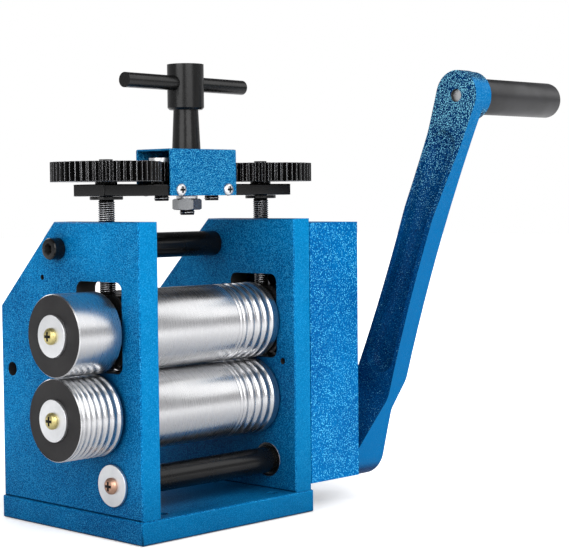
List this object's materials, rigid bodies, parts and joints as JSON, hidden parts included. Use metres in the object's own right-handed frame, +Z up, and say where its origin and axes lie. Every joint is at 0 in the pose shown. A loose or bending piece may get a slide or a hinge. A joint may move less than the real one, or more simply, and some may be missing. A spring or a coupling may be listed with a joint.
{
  "type": "jewellers rolling mill",
  "caption": "Hand-cranked rolling mill with flat and grooved rollers between side plates, geared pressure screws with a cross handle, and a reduction gear case.",
  "frame": {"origin": "on the bench, under the middle of the base plate", "axes": "+Z up, +X along the rollers towards the crank, +Y to the back, away from the side the metal is fed in"},
  "size_m": [0.3527, 0.2059, 0.28],
  "materials": {
    "blue_paint": "fine hammered blue paint, semi gloss",
    "case_paint": "coarse hammered blue paint, gloss",
    "roller_steel": "ground and polished hardened steel",
    "black_steel": "black oxide steel, satin",
    "zinc": "bright zinc plate",
    "copper_tint": "copper coloured plate",
    "bright_steel": "turned steel, oiled",
    "bronze": "sintered bronze, oiled",
    "black_plastic": "moulded plastic, soft sheen"
  },
  "bodies": {
    "frame": {"base_plate": "blue_paint", "left_side_plate": "blue_paint", "right_side_plate": "blue_paint", "tie_rod": "black_steel", "tie_rod_screws": "black_steel", "lower_bushes": "bronze", "shaft_bushes": "bronze", "gear_case": "case_paint", "case_bush": "bronze", "lift_springs": "zinc"},
    "crank": {"drive_shaft": "black_steel", "drive_keys": "bright_steel", "drive_pinion": "bright_steel", "drive_spacer": "bright_steel", "shaft_end_washer": "copper_tint", "crank_arm": "case_paint", "crank_end_washer": "zinc", "grip_spindle": "zinc"},
    "grip": {"grip": "black_plastic"},
    "lower_roller": {"lower_roller": "roller_steel", "lower_side_roller": "black_steel", "lower_sync_gear": "bright_steel", "reduction_gear": "bright_steel", "lower_roller_keys": "bright_steel", "lower_circlip": "black_steel", "lower_end_washer": "zinc"},
    "bearing_blocks": {"left_bearing_block": "black_steel", "right_bearing_block": "black_steel", "upper_bushes": "bronze"},
    "upper_roller": {"upper_roller": "roller_steel", "upper_side_roller": "black_steel", "upper_sync_gear": "bright_steel", "upper_roller_keys": "bright_steel", "upper_circlip": "black_steel", "upper_end_washer": "zinc"},
    "press_carriage": {"cross_bar": "black_steel", "bracket": "case_paint", "idler_bolts": "zinc"},
    "top_handle": {"handle_spindle": "black_steel", "handle_pinion": "black_steel", "cross_handle": "black_steel", "handle_nut": "zinc", "handle_washer": "zinc", "handle_key": "bright_steel"},
    "left_screw": {"left_pressure_screw": "black_steel", "left_screw_gear": "black_steel", "left_screw_collar": "zinc"},
    "right_screw": {"right_pressure_screw": "black_steel", "right_screw_gear": "black_steel", "right_screw_collar": "zinc"},
    "left_idler": {"left_idler_gear": "black_steel"},
    "right_idler": {"right_idler_gear": "black_steel"}
  },
  "joints": [
    {"name": "crank_turn", "type": "hinge", "parent": "frame", "child": "crank", "pos_m": [0, -0.0412, 0.03241], "axis": [1, 0, 0], "continuous": true},
    {"name": "grip_spin", "type": "hinge", "parent": "crank", "child": "grip", "pos_m": [0.1645, -0.12295, 0.26198], "axis": [1, 0, 0], "continuous": true},
    {"name": "lower_roller_spin", "type": "hinge", "parent": "frame", "child": "lower_roller", "pos_m": [0, -0.0297, 0.0728], "axis": [1, 0, 0], "continuous": true},
    {"name": "block_lift", "type": "slide", "parent": "frame", "child": "bearing_blocks", "axis": [0, 0, 1], "range_m": [0, 0.007], "deforming": ["lift_springs"]},
    {"name": "upper_roller_spin", "type": "hinge", "parent": "bearing_blocks", "child": "upper_roller", "pos_m": [0, -0.0297, 0.1212], "axis": [1, 0, 0], "continuous": true},
    {"name": "press_lift", "type": "slide", "parent": "frame", "child": "press_carriage", "axis": [0, 0, 1], "range_m": [0, 0.007]},
    {"name": "handle_turn", "type": "hinge", "parent": "press_carriage", "child": "top_handle", "pos_m": [0, -0.0297, 0.2683], "axis": [0, 0, 1], "range_deg": [0, 7200]},
    {"name": "left_screw_turn", "type": "hinge", "parent": "press_carriage", "child": "left_screw", "pos_m": [-0.06375, -0.0297, 0.2089], "axis": [0, 0, 1], "range_deg": [0, 2016]},
    {"name": "left_idler_turn", "type": "hinge", "parent": "press_carriage", "child": "left_idler", "pos_m": [-0.02063, -0.0297, 0.2089], "axis": [0, 0, 1], "range_deg": [-5305.3, 0]},
    {"name": "right_screw_turn", "type": "hinge", "parent": "press_carriage", "child": "right_screw", "pos_m": [0.06375, -0.0297, 0.2089], "axis": [0, 0, 1], "range_deg": [0, 2016]},
    {"name": "right_idler_turn", "type": "hinge", "parent": "press_carriage", "child": "right_idler", "pos_m": [0.02063, -0.0297, 0.2089], "axis": [0, 0, 1], "range_deg": [-5305.3, 0]}
  ],
  "couplings": [
    {"joint": "lower_roller_spin", "follows": "crank_turn", "ratio": -0.4},
    {"joint": "upper_roller_spin", "follows": "crank_turn", "ratio": 0.4},
    {"joint": "block_lift", "follows": "press_lift", "ratio": 1},
    {"joint": "handle_turn", "follows": "press_lift", "rad_per_m": 17952},
    {"joint": "left_screw_turn", "follows": "press_lift", "rad_per_m": 5026.5},
    {"joint": "left_idler_turn", "follows": "press_lift", "rad_per_m": -13228},
    {"joint": "right_screw_turn", "follows": "press_lift", "rad_per_m": 5026.5},
    {"joint": "right_idler_turn", "follows": "press_lift", "rad_per_m": -13228}
  ]
}
